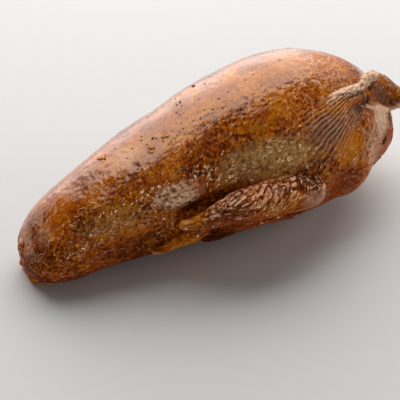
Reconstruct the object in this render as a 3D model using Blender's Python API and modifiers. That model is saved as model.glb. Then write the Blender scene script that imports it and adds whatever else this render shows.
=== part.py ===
"""A roast stuffed pigeon, lying on its back with its breast up, as one closed solid.

The long axis is X: the stuffed neck skin is at -X and the rump at +X. Z is up, and
the flat patch that the bird rests on is at Z = 0. Sizes are in millimetres, and MM
turns them into Blender's metres.
"""

import math

import bmesh
import bpy
import numpy as np

MM = 0.001

# Driving sizes of the bird.
TRUNK_LENGTH = 189.0  # from the neck skin's end to the rump
BREAST_WIDTH = 78.0
BREAST_HEIGHT = 78.0
NECK_END_X = -92.0
WIDEST_LINE = 0.46  # height of the widest line, as a share of a section's height

# The trunk's sections from neck to rump: share of the length, height of the underside
# in mm, share of the breast's height, share of its width, and shift to +Y in mm. A
# section of no size is a pole. The underside is cut flat at 0, where the bird rests.
TRUNK_SECTIONS = (
    (0.000, 10.5, 0.00, 0.00, -2.0),
    (0.013, 3.5, 0.21, 0.30, -2.0),
    (0.045, 0.5, 0.355, 0.46, -1.8),
    (0.100, -1.5, 0.485, 0.55, -1.0),
    (0.190, -2.0, 0.62, 0.61, 0.2),
    (0.305, -2.0, 0.75, 0.72, 0.7),
    (0.465, -2.0, 0.90, 0.87, 0.3),
    (0.624, -2.0, 0.99, 0.98, 0.0),
    (0.738, -1.5, 1.00, 0.98, 0.0),
    (0.832, 1.5, 0.895, 0.87, 0.0),
    (0.901, 7.0, 0.73, 0.72, 0.0),
    (0.950, 12.0, 0.56, 0.58, 0.0),
    (0.985, 17.0, 0.38, 0.40, 0.0),
    (1.000, 30.0, 0.00, 0.00, 0.0),
)

# Each limb as points (x, y, z, diameter) along its middle. The near side is at -Y.
NEAR_LEG = {
    "drumstick": (
        (50.0, -19.0, 18.0, 25.0),
        (54.0, -24.5, 27.0, 29.0),
        (59.0, -26.0, 36.0, 28.0),
        (67.0, -20.5, 49.0, 21.0),
        (76.0, -13.5, 58.0, 13.5),
        (84.5, -8.5, 61.0, 11.0),
    ),
    "shank": (
        (83.0, -9.0, 61.0, 11.0),
        (91.0, -7.5, 54.0, 10.5),
        (98.5, -6.2, 46.5, 10.5),
        (106.0, -5.0, 39.0, 10.0),
    ),
    "fold": (
        (42.0, -25.5, 62.0, 3.5),
        (54.0, -21.5, 65.0, 6.5),
        (64.0, -18.0, 64.0, 7.5),
        (72.0, -14.8, 62.0, 8.0),
        (79.0, -11.5, 61.5, 8.5),
        (84.5, -8.5, 61.0, 9.0),
    ),
}
# The bird leans a little to its far side, where the leg is folded lower.
FAR_LEG = {
    "drumstick": (
        (50.0, 19.0, 15.0, 25.0),
        (55.0, 24.0, 23.0, 28.0),
        (62.0, 24.5, 30.0, 27.0),
        (71.0, 20.0, 38.0, 21.0),
        (80.0, 15.0, 44.0, 14.5),
        (87.0, 11.5, 46.0, 12.0),
    ),
    "shank": (
        (86.0, 12.0, 46.0, 11.0),
        (93.0, 9.5, 42.0, 10.5),
        (98.0, 7.5, 35.0, 10.0),
        (98.5, 5.5, 28.0, 9.0),
    ),
    "fold": (
        (46.0, 30.0, 52.0, 4.0),
        (58.0, 27.0, 50.0, 8.0),
        (70.0, 21.0, 49.0, 9.0),
        (80.0, 15.5, 47.0, 10.0),
        (87.0, 11.5, 46.0, 10.0),
    ),
}
WING = {
    "forearm": (
        (39.5, -38.5, 30.0, 13.0),
        (32.0, -41.0, 33.0, 15.0),
        (18.0, -42.0, 36.0, 16.0),
        (4.0, -41.0, 36.5, 15.5),
        (-10.0, -37.5, 32.5, 13.0),
        (-20.0, -34.0, 29.5, 9.5),
        (-29.5, -32.5, 31.0, 5.0),
    ),
    "upper_arm": (
        (35.0, -35.5, 27.0, 11.5),
        (20.0, -34.0, 26.0, 13.0),
        (4.0, -30.5, 23.0, 13.5),
        (-10.0, -27.0, 20.0, 13.0),
    ),
    "hand": (
        (-14.0, -34.5, 28.5, 8.5),
        (-22.0, -32.0, 25.0, 8.5),
        (-31.0, -28.5, 20.0, 8.0),
        (-40.5, -25.5, 14.5, 5.0),
    ),
}
FAR_WING_SHIFT = (-3.0, -1.5, -13.0)  # from the near wing's mirror image
NECK_FLAP = (
    (-76.0, -2.0, 4.0, 9.0),
    (-84.0, -1.0, 3.5, 8.0),
    (-91.0, 0.0, 3.0, 6.0),
)
NECK_FLAP_SIDES = (-5.0, 0.0, 5.0)  # the flap is three ridges side by side

RING_POINTS = 48
SPAN_POINTS = 6  # between two neighbours of a list above
VOXEL = 1.5
SMOOTHING_ROUNDS = 4
KEPT_SHARE = 0.15  # of the fine mesh's triangles
REST_SLAB = (240.0, 160.0, 20.0)


def clear_scene():
    """Removes whatever the startup scene holds."""
    for obj in list(bpy.data.objects):
        bpy.data.objects.remove(obj, do_unlink=True)


def new_collection(name):
    collection = bpy.data.collections.new(name)
    bpy.context.scene.collection.children.link(collection)
    return collection


def through(points):
    """Points on the Catmull-Rom curve through rows of numbers, ends included."""
    points = np.asarray(points, float)
    padded = np.vstack([2 * points[0] - points[1], points, 2 * points[-1] - points[-2]])
    t = (np.arange(SPAN_POINTS) / SPAN_POINTS)[:, None]
    spans = []
    for a, b, c, d in zip(padded, padded[1:], padded[2:], padded[3:]):
        cubic = -a + 3 * b - 3 * c + d
        square = 2 * a - 5 * b + 4 * c - d
        spans.append(0.5 * (2 * b + (c - a) * t + square * t**2 + cubic * t**3))
    return np.vstack(spans + [points[-1:]])


def skin_over(name, rings, start, end, collection):
    """A closed mesh of quads over rings of points, with a fan to a pole at each end."""
    count, around = rings.shape[:2]
    points = np.vstack([rings.reshape(-1, 3), start, end]) * MM
    first, last = count * around, count * around + 1
    faces = []
    for i in range(count - 1):
        for j in range(around):
            k = (j + 1) % around
            faces.append((i * around + j, i * around + k, (i + 1) * around + k, (i + 1) * around + j))
    for j in range(around):
        k = (j + 1) % around
        faces.append((first, k, j))
        faces.append((last, (count - 1) * around + j, (count - 1) * around + k))
    mesh = bpy.data.meshes.new(name)
    mesh.from_pydata(points.tolist(), [], faces)
    mesh.validate()
    obj = bpy.data.objects.new(name, mesh)
    collection.objects.link(obj)
    return obj


def trunk(collection):
    """Neck skin, breast and rump: upright oval sections lofted along X."""
    rows = []
    for share, underside, height_share, width_share, sideways in TRUNK_SECTIONS:
        height = height_share * BREAST_HEIGHT
        rows.append((
            NECK_END_X + share * TRUNK_LENGTH,
            sideways,
            underside + WIDEST_LINE * height,
            width_share * BREAST_WIDTH / 2,
            height,
        ))
    # Across a pole the size changes sign, so that the curve ends in a round cap.
    mirror = np.array([1, 1, 1, -1, -1])
    rows = np.array(rows)
    padded = np.vstack([rows[1] * mirror, rows, rows[-2] * mirror])
    curve = through(padded)[SPAN_POINTS:-SPAN_POINTS]
    angle = np.linspace(0, 2 * math.pi, RING_POINTS, endpoint=False)
    sine = np.sin(angle)
    share = np.where(sine >= 0, 1 - WIDEST_LINE, WIDEST_LINE)
    x, side, middle, half_width, height = (curve[1:-1, i, None] for i in range(5))
    rings = np.stack([
        x + 0 * angle,
        side - half_width * np.cos(angle),
        middle + height * share * sine,
    ], axis=2)
    return skin_over("trunk", rings, curve[0, :3], curve[-1, :3], collection)


def limb(name, points, collection):
    """A tapering limb with rounded ends: a bevelled curve made into a closed mesh."""
    path = through(points)
    run = np.r_[0, np.cumsum(np.linalg.norm(np.diff(path[:, :3], axis=0), axis=1))]
    radius = path[:, 3] / 2
    # Rounded ends: the radius follows a quarter circle over its own length.
    inset = np.clip(np.minimum(run / radius[0], (run[-1] - run) / radius[-1]), 0.02, 1)
    radius = radius * np.sqrt(1 - (1 - inset) ** 2)
    curve = bpy.data.curves.new(name, "CURVE")
    curve.dimensions = "3D"
    curve.bevel_depth = MM
    curve.bevel_resolution = 4
    curve.use_fill_caps = True
    spline = curve.splines.new("POLY")
    spline.points.add(len(path) - 1)
    for point, place, size in zip(spline.points, path[:, :3] * MM, radius):
        point.co = (*place, 1.0)
        point.radius = size
    tube = bpy.data.objects.new(name, curve)
    collection.objects.link(tube)
    graph = bpy.context.evaluated_depsgraph_get()
    mesh = bpy.data.meshes.new_from_object(tube.evaluated_get(graph))
    bpy.data.objects.remove(tube, do_unlink=True)
    shell = bmesh.new()
    shell.from_mesh(mesh)
    bmesh.ops.remove_doubles(shell, verts=shell.verts, dist=0.01 * MM)
    shell.to_mesh(mesh)
    shell.free()
    collection.objects.link(bpy.data.objects.new(name, mesh))


def limbs(collection):
    """Both legs, both folded wings and the flap of neck skin tucked under the neck."""
    for side, leg in (("near", NEAR_LEG), ("far", FAR_LEG)):
        for part, points in leg.items():
            limb(f"{part}_{side}", points, collection)
    for part, points in WING.items():
        limb(f"{part}_near", points, collection)
        mirrored = np.array(points) * (1, -1, 1, 1) + (*FAR_WING_SHIFT, 0)
        limb(f"{part}_far", mirrored, collection)
    for sideways in NECK_FLAP_SIDES:
        limb("neck_flap", np.array(NECK_FLAP) + (0, sideways, 0, 0), collection)


def apply_modifiers(obj):
    """Makes the object's evaluated mesh its own, and drops the modifiers."""
    graph = bpy.context.evaluated_depsgraph_get()
    mesh = bpy.data.meshes.new_from_object(obj.evaluated_get(graph))
    obj.modifiers.clear()
    obj.data = mesh


def fuse(body, pieces):
    """Joins the pieces to the body, and rounds the creases where they meet."""
    union = body.modifiers.new("join", "BOOLEAN")
    union.operation = "UNION"
    union.operand_type = "COLLECTION"
    union.collection = pieces
    union.solver = "EXACT"
    apply_modifiers(body)
    for obj in list(pieces.objects):
        bpy.data.objects.remove(obj, do_unlink=True)
    bpy.data.collections.remove(pieces)
    even = body.modifiers.new("even", "REMESH")
    even.mode = "VOXEL"
    even.voxel_size = VOXEL * MM
    soften = body.modifiers.new("soften", "SMOOTH")
    soften.factor = 0.5
    soften.iterations = SMOOTHING_ROUNDS
    lighten = body.modifiers.new("lighten", "DECIMATE")
    lighten.ratio = KEPT_SHARE
    apply_modifiers(body)


def cut_rest(body, cutters):
    """Cuts the underside flat at Z = 0, where the bird rests."""
    bpy.ops.mesh.primitive_cube_add(size=1)
    slab = bpy.context.object
    slab.name = "rest_slab"
    slab.dimensions = [side * MM for side in REST_SLAB]
    slab.location = (0, 0, -REST_SLAB[2] / 2 * MM)
    slab.hide_render = True
    slab.display_type = "WIRE"
    for collection in slab.users_collection:
        collection.objects.unlink(slab)
    cutters.objects.link(slab)
    cut = body.modifiers.new("rest", "BOOLEAN")
    cut.operation = "DIFFERENCE"
    cut.object = slab
    cut.solver = "EXACT"


def roast_skin():
    """Browned, basted skin."""
    material = bpy.data.materials.new("roast_skin")
    material.use_nodes = True
    shader = material.node_tree.nodes["Principled BSDF"]
    shader.inputs["Base Color"].default_value = (0.36, 0.15, 0.045, 1.0)
    shader.inputs["Roughness"].default_value = 0.38
    shader.inputs["Metallic"].default_value = 0.0
    return material


def main():
    clear_scene()
    collection = new_collection("stuffed_pigeon")
    pieces = new_collection("pieces")
    cutters = new_collection("cutters")
    body = trunk(collection)
    body.name = "pigeon"
    limbs(pieces)
    fuse(body, pieces)
    cut_rest(body, cutters)
    body.data.materials.clear()
    body.data.materials.append(roast_skin())
    body.data.shade_smooth()


main()
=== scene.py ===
"""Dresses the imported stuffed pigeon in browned, basted skin, and lays a few crumbs on it.

Sizes and places are in millimetres, in the frame's axes: +X from the stuffed neck to
the rump, +Z up through the breast, and the wing that faces the camera at -Y. MM turns
them into the scene's metres. Only the lights are placed in metres.
"""

from __future__ import annotations

import logging
import math
from dataclasses import dataclass, field
from enum import Enum
from typing import Any

import bpy
import numpy as np
from bpy.types import Material, Mesh, NodeSocket, Object
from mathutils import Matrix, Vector


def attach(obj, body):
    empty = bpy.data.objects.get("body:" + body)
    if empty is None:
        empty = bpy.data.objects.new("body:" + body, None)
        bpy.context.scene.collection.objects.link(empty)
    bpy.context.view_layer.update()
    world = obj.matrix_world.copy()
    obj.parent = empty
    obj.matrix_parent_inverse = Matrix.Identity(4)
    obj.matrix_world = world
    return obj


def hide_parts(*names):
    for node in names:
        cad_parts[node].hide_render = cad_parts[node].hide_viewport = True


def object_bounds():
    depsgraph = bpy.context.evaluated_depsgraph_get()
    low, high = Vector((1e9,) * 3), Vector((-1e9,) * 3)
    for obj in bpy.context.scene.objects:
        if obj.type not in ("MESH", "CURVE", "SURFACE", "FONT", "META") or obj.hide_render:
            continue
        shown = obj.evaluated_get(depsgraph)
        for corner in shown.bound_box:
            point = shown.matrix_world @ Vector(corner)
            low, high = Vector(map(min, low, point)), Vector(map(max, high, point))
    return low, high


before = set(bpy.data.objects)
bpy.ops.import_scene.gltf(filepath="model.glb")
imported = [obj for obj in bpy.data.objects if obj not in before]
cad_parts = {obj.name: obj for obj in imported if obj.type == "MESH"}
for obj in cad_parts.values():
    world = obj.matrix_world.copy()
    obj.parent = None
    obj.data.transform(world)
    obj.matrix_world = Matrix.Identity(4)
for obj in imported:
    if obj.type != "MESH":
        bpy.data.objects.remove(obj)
CAD_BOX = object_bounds()

MM = 0.001
ROOT = "root"
LOG = logging.getLogger("stuffed_pigeon")

Colour = tuple[float, float, float, float]
Place = tuple[float, float, float]
Rows = tuple[tuple[Any, ...], ...]
Array = np.ndarray


# ---- shader expressions


class Wire:
    """A node's output socket, which sums and products can be written with."""

    def __init__(self, graph: Graph, socket: NodeSocket) -> None:
        """Keeps the socket and the graph that new nodes go into."""
        self.graph = graph
        self.socket = socket

    def _with(self, operation: str, *others: Wire | float) -> Wire:
        """Adds a Math node on this socket and the others."""
        values = dict(enumerate((self, *others)))
        return self.graph.node("ShaderNodeMath", {"operation": operation}, values)

    def __add__(self, other: Wire | float) -> Wire:
        """This plus other."""
        return self._with("ADD", other)

    def __sub__(self, other: Wire | float) -> Wire:
        """This less other."""
        return self._with("SUBTRACT", other)

    def __rsub__(self, other: float) -> Wire:
        """Other less this, so that 1 - mask works."""
        return self * -1.0 + other

    def __mul__(self, other: Wire | float) -> Wire:
        """This times other."""
        return self._with("MULTIPLY", other)

    # Sums and products don't depend on which side the number is on.
    __radd__ = __add__
    __rmul__ = __mul__

    def __abs__(self) -> Wire:
        """This without its sign."""
        return self._with("ABSOLUTE")

    def sine(self) -> Wire:
        """The sine of this, in radians."""
        return self._with("SINE")

    def clamp(self) -> Wire:
        """This, held between 0 and 1."""
        return self.graph.node("ShaderNodeClamp", {}, {"Value": self})

    def between(self, low: float, high: float) -> Wire:
        """A smooth step from 0 at low to 1 at high.

        Args:
            low: the value that gives 0.
            high: the value that gives 1; it may be under low.

        Returns:
            The step's wire.
        """
        settings = {"interpolation_type": "SMOOTHSTEP"}
        sockets = {"Value": self, "From Min": low, "From Max": high}
        return self.graph.node("ShaderNodeMapRange", settings, sockets)


class Graph:
    """The node tree of one material."""

    def __init__(self, name: str) -> None:
        """Starts a material with an empty tree.

        Args:
            name: the material's name.
        """
        self.material = bpy.data.materials.new(name)
        self.material.use_nodes = True
        self.tree = self.material.node_tree
        self.tree.nodes.clear()

    def node(
        self, kind: str, settings: dict[str, Any], sockets: dict[Any, Any], out: int | str = 0
    ) -> Wire:
        """Adds a node.

        Args:
            kind: the node's type.
            settings: its own settings; "stops" are a ramp's places and colours.
            sockets: values or wires for its inputs, by name, identifier or number.
            out: which output the wire comes from.

        Returns:
            The wire of that output, or of the node's first socket if it has no output.
        """
        made = self.tree.nodes.new(kind)
        for key, value in settings.items():
            if key == "stops":
                self._fill_ramp(made.color_ramp, value)
            else:
                setattr(made, key, value)
        for key, value in sockets.items():
            socket = self._find(made.inputs, key)
            if isinstance(value, Wire):
                self.tree.links.new(value.socket, socket)
            else:
                socket.default_value = value
        return Wire(self, self._find(made.outputs or made.inputs, out))

    @staticmethod
    def _fill_ramp(ramp: bpy.types.ColorRamp, stops: list[tuple[float, Colour]]) -> None:
        """Gives a ramp its stops.

        Args:
            ramp: a new ramp, which has two stops.
            stops: the places and colours of two stops or more.
        """
        while len(ramp.elements) < len(stops):
            ramp.elements.new(0.5)
        for element, (place, colour) in zip(ramp.elements, stops):
            element.position = place
            element.color = colour

    @staticmethod
    def _find(sockets: Any, key: int | str) -> NodeSocket:
        """A socket by its number, its identifier or else its name."""
        named = [s for word in ("identifier", "name") for s in sockets if getattr(s, word) == key]
        return sockets[key] if isinstance(key, int) else named[0]

    def place(self) -> Wire:
        """The surface's own coordinates, in metres."""
        return self.node("ShaderNodeTexCoord", {}, {}, "Object")

    def painted(self, name: str) -> Wire:
        """A number that the mesh holds at each point, or 0 where it holds none."""
        return self.node("ShaderNodeAttribute", {"attribute_name": name}, {}, "Fac")

    def along(self, length: float, rise: float, turn: float = 0.0) -> Wire:
        """Coordinates in which noise is drawn out one way.

        Args:
            length: how many times as long as wide the noise's lumps are.
            rise: how far their length tips up from X towards +Z, in radians.
            turn: how far it then turns from +X towards +Y, in radians.

        Returns:
            The coordinates' wire.
        """
        sockets = {"Vector": self.place(), "Rotation": (0.0, -rise, turn), "Scale": (length, 1.0, 1.0)}
        return self.node("ShaderNodeMapping", {"vector_type": "TEXTURE"}, sockets)

    def noise(
        self, size: float, detail: float, seed: float, rough: float = 0.5, at: Wire | None = None
    ) -> Wire:
        """Smooth noise, mostly between 0.3 and 0.7.

        Args:
            size: the width of its largest lumps, in mm.
            detail: how many finer layers it has.
            seed: tells one noise from another.
            rough: how strong the finer layers are.
            at: where it is read, if not at the surface's own coordinates.

        Returns:
            The noise's wire.
        """
        sockets = {"Vector": at or self.place(), "W": seed, "Scale": 1 / (size * MM)}
        sockets |= {"Detail": detail, "Roughness": rough}
        return self.node("ShaderNodeTexNoise", {"noise_dimensions": "4D"}, sockets, "Fac")

    def blend(self, share: Wire, base: Wire | Colour, over: Colour) -> Wire:
        """Mixes two colours.

        Args:
            share: how much of the second shows, from 0 to 1.
            base: the first colour.
            over: the second colour.

        Returns:
            The mixed colour's wire.
        """
        sockets = {"Factor_Float": share, "A_Color": base, "B_Color": over}
        return self.node("ShaderNodeMix", {"data_type": "RGBA"}, sockets, "Result_Color")

    def relief(self, height: Wire, depth: float, before: Wire | None = None) -> Wire:
        """A bumped normal.

        Args:
            height: the relief, about 0 to 1.
            depth: what a height of 1 stands for, in mm.
            before: an earlier bump that this one goes on.

        Returns:
            The normal's wire.
        """
        sockets: dict[str, Any] = {"Height": height, "Distance": depth * MM, "Strength": 1.0}
        if before is not None:
            sockets["Normal"] = before
        return self.node("ShaderNodeBump", {}, sockets)

    def surface(self, sockets: dict[str, Any]) -> Wire:
        """A Principled shader with these sockets."""
        return self.node("ShaderNodeBsdfPrincipled", {}, sockets)

    def finish(self, surface: Wire) -> Material:
        """Adds the output, and gives the material."""
        self.node("ShaderNodeOutputMaterial", {}, {"Surface": surface})
        return self.material


# ---- finishes


@dataclass(frozen=True)
class RoastSkin:
    """Browned, basted bird skin: golden to burnt, fatty pale in folds, under a glaze. Its colours also
    hold painted shade in creases and hollows, and painted highlights and glints.

    The heights, and the pores' gap and radius, are in mm.
    """

    golden: Colour = (0.74, 0.230, 0.007, 1.0)
    amber: Colour = (0.52, 0.100, 0.003, 1.0)
    brown: Colour = (0.20, 0.028, 0.001, 1.0)
    burnt: Colour = (0.080, 0.013, 0.0012, 1.0)
    # Pale is both the fat's own colour and the colour of painted highlights and reflections.
    pale: Colour = (0.98, 0.59, 0.36, 1.0)
    olive: Colour = (0.62, 0.35, 0.10, 1.0)
    ruddy: Colour = (0.34, 0.058, 0.010, 1.0)
    dusky: Colour = (0.30, 0.138, 0.080, 1.0)
    straw: Colour = (0.50, 0.24, 0.028, 1.0)
    # Pale flecks painted as glints.
    painted_glint: Colour = (0.80, 0.33, 0.030, 1.0)
    shine: Colour = (0.93, 0.70, 0.46, 1.0)
    lump_height: float = 1.3
    grain_height: float = 0.5
    wrinkle_height: float = 0.45
    pore_gap: float = 3.4
    pore_radius: float = 0.6

    def material(self) -> Material:
        """Builds the skin: its patterns, how brown it is, its tints, relief and gloss.

        Returns:
            The material.
        """
        graph = Graph("roast_skin")
        mottled, stretched, crinkled, ribbed = map(
            graph.painted, ("mottled", "stretched", "crinkled", "ribbed")
        )
        # Patterns: clouds, mottling, grain, a net of lines, crinkles and the fan's ribs.
        strokes = graph.along(1.8, 0.7, 0.5)
        cloud = graph.noise(14.0, 3.0, 1.0) - 0.5
        blotch = graph.noise(1.5, 3.0, 2.0, 0.65).between(0.38, 0.60) - 0.5
        grain = graph.noise(1.1, 1.5, 3.0, 0.6, strokes)
        painted_glint = grain.between(0.53, 0.68)
        speck = grain.between(0.46, 0.34) * 0.6 - painted_glint
        net = abs(graph.noise(3.0, 1.5, 9.0) - 0.5) * 10.0
        lines = net.between(0.30, 0.0) * mottled
        crinkle = abs(graph.noise(2.4, 2.0, 12.0, 0.55, graph.along(3.5, 0.25)) - 0.5) * 8.0
        rib = abs(graph.painted("rib_phase").sine())
        # Creases are painted darker, as shade, and the fan's ridges lighter, as highlights.
        creases = crinkle.between(0.30, 0.0) * crinkled + rib.between(0.38, 0.05) * ribbed
        ridges = rib.between(0.5, 1.0) * ribbed

        # Browning and painted shade, from golden at 0 to burnt at 1: darker in the creases, lighter on
        # the fan's ridges, with warmer clouds and pale flecks painted as glints.
        depth = graph.painted("browning") + cloud * 1.6 + creases * 0.45 + lines * 0.2 - ridges * 0.45
        depth = depth + (blotch * 0.54 + speck * 0.34) * mottled
        stops = [(0.0, self.golden), (0.38, self.amber), (0.72, self.brown), (1.0, self.burnt)]
        base = graph.node("ShaderNodeValToRGB", {"stops": stops}, {"Fac": depth.clamp()}, "Color")
        warm = graph.noise(9.0, 3.0, 6.0, 0.6)
        fresh = depth.between(1.0, 0.65)
        base = graph.blend(warm.between(0.50, 0.62) * fresh * 0.65, base, self.ruddy)
        base = graph.blend(warm.between(0.47, 0.36) * fresh * 0.20, base, self.straw)
        # Pale flecks painted as glints.
        base = graph.blend(painted_glint * mottled * 0.20, base, self.painted_glint)

        # Painted tints, which the patterns break up, painted highlights on the fan's ridges, and dark
        # pores.
        uneven = (blotch * 0.8 + speck * 0.28) * mottled + lines * 0.35
        uneven = uneven + creases * 0.6 - ridges * 0.5 + 0.1
        for tint in ("pale", "olive", "ruddy", "dusky"):
            share = graph.painted(tint)
            base = graph.blend((share - uneven * share).clamp(), base, getattr(self, tint))
        base = graph.blend(ridges * 0.32, base, self.pale)
        patchy = graph.noise(11.0, 2.0, 5.0).between(0.42, 0.6)
        scatter = {"Vector": graph.place(), "Scale": 1 / (self.pore_gap * MM), "Randomness": 1.0}
        away = graph.node("ShaderNodeTexVoronoi", {"feature": "F1"}, scatter, "Distance")
        rim = self.pore_radius / self.pore_gap
        pore = away.between(rim, 0.4 * rim) * patchy * graph.painted("pores")
        base = graph.blend(pore, base, self.burnt)

        # Relief, which is flatter where the skin is stretched.
        loose = 1.0 - stretched * 0.75
        lumps = graph.noise(2.1, 2.0, 7.0, 0.6, strokes)
        normal = graph.relief(lumps * loose, self.lump_height)
        normal = graph.relief(grain * loose - pore, self.grain_height, normal)
        wrinkles = crinkle.clamp() * crinkled + rib * ribbed
        normal = graph.relief(wrinkles, self.wrinkle_height, normal)

        # Glazed where it is stretched or wet, and dry elsewhere.
        common = {
            "Base Color": base,
            "Normal": normal,
            "IOR": 1.6,
            "Specular Tint": self.shine,
            "Subsurface Weight": 0.05,
            "Subsurface Radius": (1.0, 0.35, 0.12),
            "Subsurface Scale": 0.002,
        }
        dry = graph.surface(common | {"Roughness": 0.45, "Specular IOR Level": 0.02})
        glazed = graph.surface(common | {
            "Roughness": 0.08 + cloud * 0.1,
            "Specular IOR Level": 0.75,
            "Coat Weight": stretched * (1.0 - pore) * 0.54,
            "Coat Roughness": 0.06,
            "Coat IOR": 1.5,
        })
        wet = stretched + depth.between(1.05, 0.50) * lumps.between(0.46, 0.61) * (1.0 - stretched)
        gloss = ((graph.painted("gloss") + cloud * 0.9 - creases * 0.3 - pore) * wet).clamp()
        return graph.finish(graph.node("ShaderNodeMixShader", {}, {"Fac": gloss, 1: dry, 2: glazed}))


@dataclass(frozen=True)
class ToastedCrumb:
    """A crumb of the skin's crisp bits."""

    light: Colour = (0.85, 0.42, 0.07, 1.0)
    dark: Colour = (0.45, 0.13, 0.02, 1.0)

    def material(self) -> Material:
        """Builds the crumb's material, which is mottled between its two colours.

        Returns:
            The material.
        """
        graph = Graph("toasted_crumb")
        grain = graph.noise(0.9, 3.0, 11.0)
        return graph.finish(graph.surface({
            "Base Color": graph.blend(grain.between(0.42, 0.58), self.light, self.dark),
            "Roughness": 0.5,
            "Specular IOR Level": 0.1,
            "Normal": graph.relief(grain, 0.2),
        }))


# ---- shapes in numpy


def through(points: Array, steps: int) -> Array:
    """A smooth curve through rows of numbers.

    Between two rows it is a cubic whose slope at each is half the way between that
    row's neighbours.

    Args:
        points: the rows, of any width.
        steps: how many points each span gives.

    Returns:
        The curve's points, both ends included.
    """
    points = np.asarray(points, float)
    padded = np.vstack([2 * points[0] - points[1], points, 2 * points[-1] - points[-2]])
    a, b, c, d = (padded[i:len(padded) - 3 + i, None] for i in range(4))
    t = (np.arange(steps) / steps)[None, :, None]
    square = 2 * a - 5 * b + 4 * c - d
    cubic = -a + 3 * b - 3 * c + d
    curve = 0.5 * (2 * b + (c - a) * t + square * t**2 + cubic * t**3)
    return np.vstack([curve.reshape(-1, points.shape[1]), points[-1:]])


def run_along(path: Array) -> Array:
    """How far along a path each of its points is."""
    return np.r_[0, np.cumsum(np.linalg.norm(np.diff(path, axis=0), axis=1))]


def ease(low: float, high: float, value: Array) -> Array:
    """A smooth step: 0 where value is at low, 1 at high, with level ends."""
    t = np.clip((value - low) / (high - low), 0, 1)
    return t * t * (3 - 2 * t)


def window(limits: tuple[float, float], soft: float, value: Array) -> Array:
    """A smooth window: 1 well between its limits, 0 outside, and fading at each."""
    low, high = limits
    return ease(low - soft, low + soft, value) * ease(high + soft, high - soft, value)


@dataclass
class Shell:
    """A closed surface: its points, its quads and its triangles."""

    points: Array
    quads: Array
    triangles: Array

    @classmethod
    def over(cls, rings: Array, start: Array, end: Array) -> Shell:
        """Closes rings of points with a fan of triangles to a pole at each end.

        Args:
            rings: the points, as (ring, around, xyz).
            start: the first pole.
            end: the last pole.

        Returns:
            The closed shell.
        """
        count, around = rings.shape[:2]
        index = np.arange(count * around).reshape(count, around)
        ahead = np.roll(index, -1, axis=1)
        quads = np.stack([index[:-1], ahead[:-1], ahead[1:], index[1:]], axis=-1).reshape(-1, 4)
        poles = np.full(around, count * around)
        first = np.stack([poles, ahead[0], index[0]], axis=-1)
        last = np.stack([poles + 1, index[-1], ahead[-1]], axis=-1)
        points = np.vstack([rings.reshape(-1, 3), start, end])
        return cls(points, quads, np.vstack([first, last]))

    @classmethod
    def joined(cls, shells: list[Shell]) -> Shell:
        """All the shells as one, unfused."""
        starts = np.cumsum([0] + [len(shell.points) for shell in shells])
        return cls(
            np.vstack([shell.points for shell in shells]),
            np.vstack([shell.quads + start for shell, start in zip(shells, starts)]),
            np.vstack([shell.triangles + start for shell, start in zip(shells, starts)]),
        )

    @classmethod
    def read(cls, mesh: Mesh) -> Shell:
        """Reads a mesh.

        Args:
            mesh: a mesh in metres that is all quads and triangles.

        Returns:
            Its shell.
        """
        points = np.empty(len(mesh.vertices) * 3)
        mesh.vertices.foreach_get("co", points)
        corners = np.empty(len(mesh.loops), int)
        mesh.loops.foreach_get("vertex_index", corners)
        sides = np.empty(len(mesh.polygons), int)
        mesh.polygons.foreach_get("loop_total", sides)
        per_corner = np.repeat(sides, sides)
        quads = corners[per_corner == 4].reshape(-1, 4)
        return cls(points.reshape(-1, 3) / MM, quads, corners[per_corner == 3].reshape(-1, 3))

    def mesh(self, name: str) -> Mesh:
        """Makes a mesh.

        Args:
            name: the mesh's name.

        Returns:
            The shell as a mesh in metres.
        """
        mesh = bpy.data.meshes.new(name)
        faces = self.quads.tolist() + self.triangles.tolist()
        mesh.from_pydata((self.points * MM).tolist(), [], faces)
        return mesh

    def through_modifiers(self, settings: dict[str, dict[str, Any]]) -> Shell:
        """Runs the shell through modifiers.

        Args:
            settings: each modifier's settings, by its type, in order.

        Returns:
            The shell that comes out of the last one.
        """
        obj = bpy.data.objects.new("forming", self.mesh("forming"))
        bpy.context.scene.collection.objects.link(obj)
        for kind, values in settings.items():
            modifier = obj.modifiers.new(kind.lower(), kind)
            for key, value in values.items():
                setattr(modifier, key, value)
        seen = obj.evaluated_get(bpy.context.evaluated_depsgraph_get())
        result = Shell.read(seen.to_mesh())
        seen.to_mesh_clear()
        mesh = obj.data
        bpy.data.objects.remove(obj)
        bpy.data.meshes.remove(mesh)
        return result

    def fused(self, voxel: float, softening: int) -> Shell:
        """Makes one even closed surface round everything, with softened creases.

        Args:
            voxel: the width of its faces, in mm.
            softening: how many times each point moves halfway to its neighbours' mean.

        Returns:
            The fused shell.
        """
        return self.through_modifiers({
            "REMESH": {"mode": "VOXEL", "voxel_size": voxel * MM},
            "SMOOTH": {"iterations": softening},
        })

    def normals(self) -> Array:
        """Finds each point's outward direction: the mean of its faces', by their area.

        Returns:
            The unit directions, as (point, xyz).
        """
        total = np.zeros_like(self.points)
        for faces in (self.quads, self.triangles):
            corner = self.points[faces]
            second = corner[:, -3 % faces.shape[1]]
            across = np.cross(corner[:, -2] - corner[:, 0], corner[:, -1] - second)
            for side in faces.T:
                for axis in range(3):
                    total[:, axis] += np.bincount(side, across[:, axis], len(total))
        return total / (np.linalg.norm(total, axis=1)[:, None] + 1e-9)


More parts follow.
